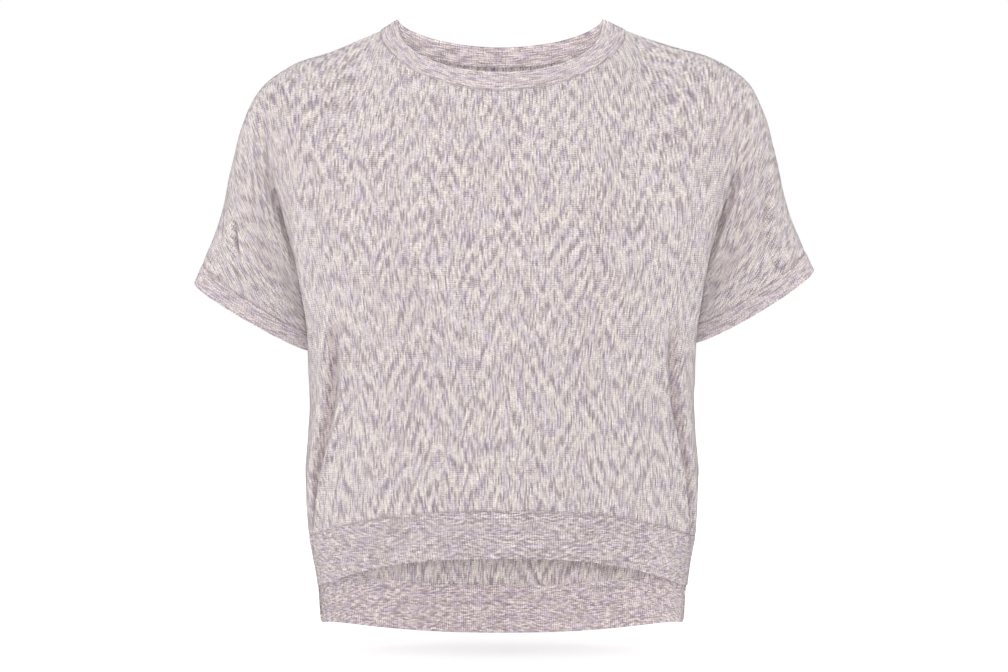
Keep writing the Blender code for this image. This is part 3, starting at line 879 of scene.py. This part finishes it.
def mesh_of(name, points, faces, flats, parts, hollow, edge, material):
    """The shell as one object. A quad that meets a corner twice becomes a triangle."""
    kept = [(list(dict.fromkeys(face)), face, flat, part) for face, flat, part in zip(faces, flats, parts)]
    mesh = bpy.data.meshes.new(name)
    mesh.from_pydata(points.tolist(), [], [face for face, _, _, _ in kept])
    corners, skins = [], []
    for face, full, flat, part in kept:
        for vertex in face:
            corners.append(flat[full.index(vertex)])
            skins.append(part)
    corners, skins = np.array(corners), np.array(skins)
    knit = mesh.uv_layers.new(name="knit")
    knit.data.foreach_set("uv", (corners * MM).ravel())
    bake = mesh.uv_layers.new(name="OFBake")
    low, size = corners.min(axis=0), np.ptp(corners, axis=0)
    spot = (corners - low) / size
    (outer, outer_share), (inner, inner_share), (left, across_share) = BAKE_OUTER, BAKE_INNER, BAKE_ACROSS
    spot[:, 1] = np.where(skins == INNER, inner + inner_share * spot[:, 1], outer + outer_share * spot[:, 1])
    spot[:, 0] = left + across_share * spot[:, 0]
    bake.data.foreach_set("uv", spot.ravel())
    # painted shade at each corner: all of it on the outer skin and the rims, a share of it on the inner skin
    values = np.concatenate([hollow, PAINTED_SHADE_INSIDE * hollow] + [hollow[edge]] * len(RIM_TURNS))
    inside = np.zeros(len(values))
    inside[len(hollow):2 * len(hollow)] = 1
    for attribute, marks in (("hollow", values), ("inside", inside)):
        mesh.attributes.new(attribute, "FLOAT", "POINT").data.foreach_set("value", marks)
    mesh.shade_smooth()
    mesh.set_sharp_from_angle(angle=SHARP_ANGLE)
    mesh.materials.append(material)
    piece = bpy.data.objects.new(name, mesh)
    bpy.context.scene.collection.objects.link(piece)
    return piece


# ---------------------------------------------------------------- the knit
class Nodes:
    """Short ways to add shader nodes to one material."""

    def __init__(self, name):
        self.material = bpy.data.materials.new(name + "_look")
        self.material.use_nodes = True
        self.tree = self.material.node_tree
        self.shader = self.tree.nodes["Principled BSDF"]

    def add(self, kind, inputs=(), **settings):
        node = self.tree.nodes.new(kind)
        for key, value in settings.items():
            setattr(node, key, value)
        for key, value in dict(inputs).items():
            self.join(value, node.inputs[key])
        return node

    def join(self, value, socket):
        if isinstance(value, bpy.types.NodeSocket):
            self.tree.links.new(value, socket)
        else:
            socket.default_value = value

    def math(self, operation, *values):
        return self.add("ShaderNodeMath", enumerate(values), operation=operation).outputs[0]

    def noise(self, x, y, z):
        vector = self.add("ShaderNodeCombineXYZ", {0: x, 1: y, 2: z}).outputs[0]
        return self.add("ShaderNodeTexNoise", {"Vector": vector, "Scale": 1.0, "Detail": 0.0}).outputs[0]

    def chance(self, x, y):
        """White noise, from 0 to 1, for each pair of whole numbers."""
        vector = self.add("ShaderNodeCombineXYZ", {0: x, 1: y}).outputs[0]
        node = self.add("ShaderNodeTexWhiteNoise", {"Vector": vector}, noise_dimensions="2D")
        return node.outputs["Value"]

    def ramp(self, value, stops):
        """A colour for each value, blended between the stops' display colours."""
        node = self.add("ShaderNodeValToRGB", {"Fac": value})
        elements = node.color_ramp.elements
        while len(elements) < len(stops):
            elements.new(1.0)
        for element, (place, colour) in zip(elements, stops):
            element.position = place
            element.color = (*linear(colour), 1)
        return node.outputs["Color"]

    def mix(self, share, first, second, blend="MIX"):
        node = self.add("ShaderNodeMix", {"Factor": share}, data_type="RGBA", blend_type=blend)
        for value, socket in zip((first, second), MIX_COLOURS):
            self.join(value, node.inputs[socket])
        return node.outputs[2]


def linear(colour):
    """A pale display colour, in steps of 255, as light."""
    return tuple(((value / 255 + 0.055) / 1.055) ** 2.4 for value in colour)


def knit_material(name, along_u):
    """Marl jersey: stitches in wales and courses, dyed strokes that sway from course to course."""
    sizes, nodes = KNITS[name], Nodes(name)
    place = nodes.add("ShaderNodeSeparateXYZ", {0: nodes.add("ShaderNodeUVMap", uv_map="knit").outputs[0]})
    u, v = (place.outputs[1], place.outputs[0]) if along_u else (place.outputs[0], place.outputs[1])
    half_wale = sizes["wale"] / 2 * MM

    def patches(kind, x, y, gain):
        """Smooth noise about 0, in patches of the sizes that PATCHES gives."""
        x_size, y_size, seed = PATCHES[kind]
        value = nodes.noise(nodes.math("MULTIPLY", x, 1 / (x_size * MM)),
                            nodes.math("MULTIPLY", y, 1 / (y_size * MM)), seed)
        return nodes.math("MULTIPLY_ADD", value, 2 * gain, -gain)

    def cycle(turns):
        return nodes.math("SINE", nodes.math("MULTIPLY", turns, 2 * math.pi))

    # the strands, each with its own chance
    leant = nodes.math("ADD", u, patches("lean", u, v, sizes["lean"] * MM))
    strand = nodes.math("FLOOR", nodes.math("DIVIDE", leant, half_wale))
    chance = nodes.add("ShaderNodeTexWhiteNoise", {"W": strand}, noise_dimensions="1D").outputs["Value"]
    strand_at = nodes.math("MULTIPLY", strand, half_wale)

    # the dye: each strand's own repeat, bands that strands share in chevrons, and flecks
    along = nodes.math("MULTIPLY", v, 1 / (sizes["dye"] * MM))
    own = nodes.math("ADD", nodes.math("ADD", along, chance),
                     patches("wobble", strand_at, v, sizes["wobble"]))
    arm = nodes.math("MULTIPLY_ADD", u, 1 / (sizes["chevron"] * MM), patches("chevron", u, v, sizes["sway"]))
    arm = nodes.math("PINGPONG", arm, 1.0)
    shared = nodes.math("MULTIPLY_ADD", arm, sizes["chevron"] / sizes["band"], along)
    shared = nodes.math("MULTIPLY_ADD", chance, sizes["loose"], shared)
    shared = nodes.math("ADD", shared, patches("sway", u, v, sizes["sway"]))
    strength = nodes.math("ADD", patches("strength", u, v, STRENGTH_SPREAD), BAND_STRENGTH)
    shared = nodes.math("MULTIPLY", cycle(shared), strength)
    value = nodes.math("MULTIPLY", cycle(own), sizes["own"])
    value = nodes.math("MULTIPLY_ADD", shared, sizes["shared"], value)
    shift = nodes.math("MULTIPLY", chance, FLECK_SHIFT)
    fleck = nodes.math("FLOOR", nodes.math("MULTIPLY_ADD", v, 1 / (sizes["fleck"] * MM), shift))
    fleck = nodes.math("MULTIPLY_ADD", nodes.chance(strand, fleck), sizes["fine"], -0.5 * sizes["fine"])
    value = nodes.math("MULTIPLY_ADD", nodes.math("ADD", value, fleck), 0.5, 0.5)
    dyed = nodes.ramp(value, sizes["colours"])
    tint = nodes.ramp(nodes.math("ADD", patches("tint", leant, v, 1.0), 0.5), TINTS)
    dyed = nodes.mix(1.0, dyed, tint, "MULTIPLY")

    # the stitches: painted shade of the V-shaped courses and of the grooves between wales, and a random tone for each
    # half stitch
    wale = nodes.math("DIVIDE", leant, sizes["wale"] * MM)
    course = nodes.math("MULTIPLY_ADD", v, 1 / (sizes["course"] * MM), patches("bow", u, v, sizes["bow"]))
    leg = nodes.math("ABSOLUTE", nodes.math("SUBTRACT", nodes.math("FRACT", wale), 0.5))
    wave = cycle(nodes.math("MULTIPLY_ADD", leg, LEG_SLOPE, course))
    groove = cycle(nodes.math("ADD", wale, GROOVE_PLACE))
    stitch = nodes.chance(strand, nodes.math("FLOOR", nodes.math("MULTIPLY_ADD", course, 2, chance)))
    stipple = nodes.math("MULTIPLY_ADD", value, -sizes["stipple"], sizes["stipple"] + sizes["course_relief"])
    relief = nodes.math("MULTIPLY_ADD", wave, stipple, 1.0)
    relief = nodes.math("MULTIPLY_ADD", groove, sizes["wale_relief"], relief)
    relief = nodes.math("ADD", relief, -0.5 * sizes["grain"])
    relief = nodes.math("MULTIPLY_ADD", stitch, sizes["grain"], relief)

    # painted light makes the inner skin lighter, and painted shade makes the hollows darker and pinker
    inside, hollow = (nodes.add("ShaderNodeAttribute", attribute_name=attribute).outputs["Fac"]
                      for attribute in ("inside", "hollow"))
    # painted light: the inner skin's colour is painted lighter, by the knit's share for it
    relief = nodes.math("MULTIPLY", relief, nodes.math("MULTIPLY_ADD", inside, sizes["reverse"], 1.0))
    grey = nodes.add("ShaderNodeCombineColor", {0: relief, 1: relief, 2: relief}).outputs[0]
    dyed = nodes.mix(1.0, dyed, grey, "MULTIPLY")
    shade = nodes.mix(hollow, WHITE, PAINTED_SHADE_TINT)
    nodes.join(nodes.mix(1.0, dyed, shade, "MULTIPLY"), nodes.shader.inputs["Base Color"])

    height = nodes.math("MULTIPLY_ADD", wave, WAVE_SHARE, groove)
    fuzz = nodes.add("ShaderNodeTexNoise", {"Scale": FUZZ["scale"], "Detail": FUZZ["detail"]}).outputs[0]
    height = nodes.math("MULTIPLY_ADD", fuzz, FUZZ["share"], height)
    bump = nodes.add("ShaderNodeBump", {"Height": height, "Distance": BUMP["depth"] * MM,
                                        "Strength": BUMP["strength"]})
    nodes.join(bump.outputs[0], nodes.shader.inputs["Normal"])
    for socket, amount in FIBRE.items():
        nodes.shader.inputs[socket].default_value = amount
    return nodes.material


# ---------------------------------------------------------------- the garment
FLATS = {
    "front_panel": dict(flat=(0.82, 0.53), area=0.282),
    "back_panel": dict(flat=(0.82, 0.585), area=0.312),
    "neckband": dict(flat=(0.62, 0.0205), area=0.0122),
    "cuff_left": dict(flat=(0.355, 0.0195), area=0.0066),
    "cuff_right": dict(flat=(0.36, 0.0195), area=0.0067),
    "hem_band_front": dict(flat=(0.51, 0.046), area=0.0229),
    "hem_band_back": dict(flat=(0.455, 0.048), area=0.0215),
}


def garment_sheets():
    sheets = {panel + "_panel": panel_sheet(panel) for panel in PANELS}
    sheets["neckband"] = neckband_sheet()
    sheets.update({"cuff_" + side: cuff_sheet(side) for side in SIDES})
    sheets.update({"hem_band_" + panel: hem_band_sheet(panel) for panel in PANELS})
    return sheets


def build_garment():
    knits = {name: knit_material(name, along_u=name != "marl_jersey") for name in KNITS}
    sheets = garment_sheets()
    seams = Seams(sheets)
    normals = seams.normals(sheets)
    # painted shade for each sheet, in its seams' grooves and its troughs
    painted_shades = {}
    for name, sheet in sheets.items():
        heights, painted_shades[name] = cloth_heights(sheet.points, normals[name], seams.distance(sheet))
        sheet.points = sheet.points + normals[name] * heights[:, None]
    normals = seams.normals(sheets)
    for name, sheet in sheets.items():
        panel = name.endswith("_panel")
        slot, wall = ("marl_jersey", SHELL_WALL) if panel else ("marl_band", SHELL_BAND_WALL)
        knit = "marl_trim" if name.startswith(("neck", "cuff")) else slot
        free = seams.free(name, len(sheet.points))
        piece = shell(name + "_knit", sheet, normals[name], free, painted_shades[name], wall, knits[knit])
        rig.ride(piece, "root")
        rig.replaces(piece, name)
        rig.slot(piece, slot)
        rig.sheet(piece, held="hung", **FLATS[name])
        print(name, len(piece.data.polygons), "faces")


# ---------------------------------------------------------------- the studio
def white_to_camera(tree, kind, seen, into):
    """A glow of the given kind, as strong as seen to the camera and AMBIENT in the light it gives."""
    add = tree.nodes.new
    ray, mix, glow = add("ShaderNodeLightPath"), add("ShaderNodeMix"), add(kind)
    to_light, to_camera = (mix.inputs[socket] for socket in MIX_NUMBERS)
    to_light.default_value = AMBIENT
    tree.links.new(ray.outputs["Is Camera Ray"], mix.inputs[0])
    if isinstance(seen, bpy.types.NodeSocket):
        tree.links.new(seen, to_camera)
    else:
        to_camera.default_value = seen
    glow.inputs["Color"].default_value = WHITE
    tree.links.new(mix.outputs[0], glow.inputs["Strength"])
    tree.links.new(glow.outputs[0], into)


def floor_material():
    """Pale, and lit so that it meets the backdrop without a line, with a soft shadow near the hem, partly cast by the
    lamps and partly painted as a glow to the camera that is least under the garment.
    """
    pale = Nodes("pale_floor")
    pale.shader.inputs["Base Color"].default_value = (FLOOR_GREY, FLOOR_GREY, FLOOR_GREY, 1)
    pale.shader.inputs["Roughness"].default_value = FLOOR_ROUGHNESS
    place = pale.add("ShaderNodeNewGeometry").outputs["Position"]
    level = pale.add("ShaderNodeVectorMath", {0: place, 1: (1, 1, 0)}, operation="MULTIPLY")
    away = pale.add("ShaderNodeVectorMath", {0: level.outputs["Vector"]}, operation="LENGTH")
    # painted shadow: the glow that the camera sees is least under the garment and rises away from it
    seen = pale.math("MULTIPLY_ADD", away.outputs["Value"], FLOOR_RISE, FLOOR_GLOW)
    seen = pale.math("MINIMUM", seen, MOST_GLOW)
    both = pale.tree.nodes.new("ShaderNodeAddShader")
    pale.tree.links.new(pale.shader.outputs[0], both.inputs[0])
    white_to_camera(pale.tree, "ShaderNodeEmission", seen, both.inputs[1])
    pale.tree.links.new(both.outputs[0], pale.tree.nodes["Material Output"].inputs["Surface"])
    return pale.material


def studio():
    """The floor, the backdrop and the lamps."""
    scene = bpy.context.scene
    scene.view_settings.view_transform = "Standard"
    world = bpy.data.worlds.new("studio")
    world.use_nodes = True
    scene.world = world
    white_to_camera(world.node_tree, "ShaderNodeBackground", 1.0,
                    world.node_tree.nodes["World Output"].inputs["Surface"])
    mesh = bpy.data.meshes.new("floor")
    half = FLOOR_HALF_WIDTH
    corners = [(-half, -half, FLOOR), (half, -half, FLOOR), (half, half, FLOOR), (-half, half, FLOOR)]
    mesh.from_pydata(corners, [], [(0, 1, 2, 3)])
    mesh.materials.append(floor_material())
    floor = bpy.data.objects.new("floor", mesh)
    scene.collection.objects.link(floor)
    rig.stage(floor)
    for name, place, aim, width, power, colour in LIGHTS:
        light = bpy.data.lights.new(name, "AREA")
        light.energy, light.size, light.color = power, width, colour
        lamp = bpy.data.objects.new(name, light)
        lamp.location = place
        lamp.rotation_euler = (Vector(aim) - Vector(place)).to_track_quat("-Z", "Y").to_euler()
        scene.collection.objects.link(lamp)


def camera():
    """Level and in front, with a lens that makes a pixel a millimetre at the origin."""
    lens = bpy.data.cameras.new("camera")
    lens.sensor_width = SENSOR_WIDTH
    lens.lens = lens.sensor_width * CAMERA_DISTANCE / FRAME_WIDTH
    lens.shift_x = (FRAME_WIDTH / 2 - CENTRE_COLUMN) / FRAME_WIDTH
    lens.clip_end = SIGHT_END
    eye = bpy.data.objects.new("camera", lens)
    eye.location = (0, -CAMERA_DISTANCE * MM, CAMERA_LEVEL * MM)
    eye.rotation_euler = (math.pi / 2, 0, 0)
    bpy.context.scene.collection.objects.link(eye)
    bpy.context.scene.camera = eye


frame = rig.load()
cad_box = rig.bounds()
camera()
build_garment()
studio()
with open("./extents.json", "w") as sizes_file:
    json.dump({"cad": [list(map(float, corner)) for corner in cad_box],
               "visual": [list(map(float, corner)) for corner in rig.bounds()]}, sizes_file)
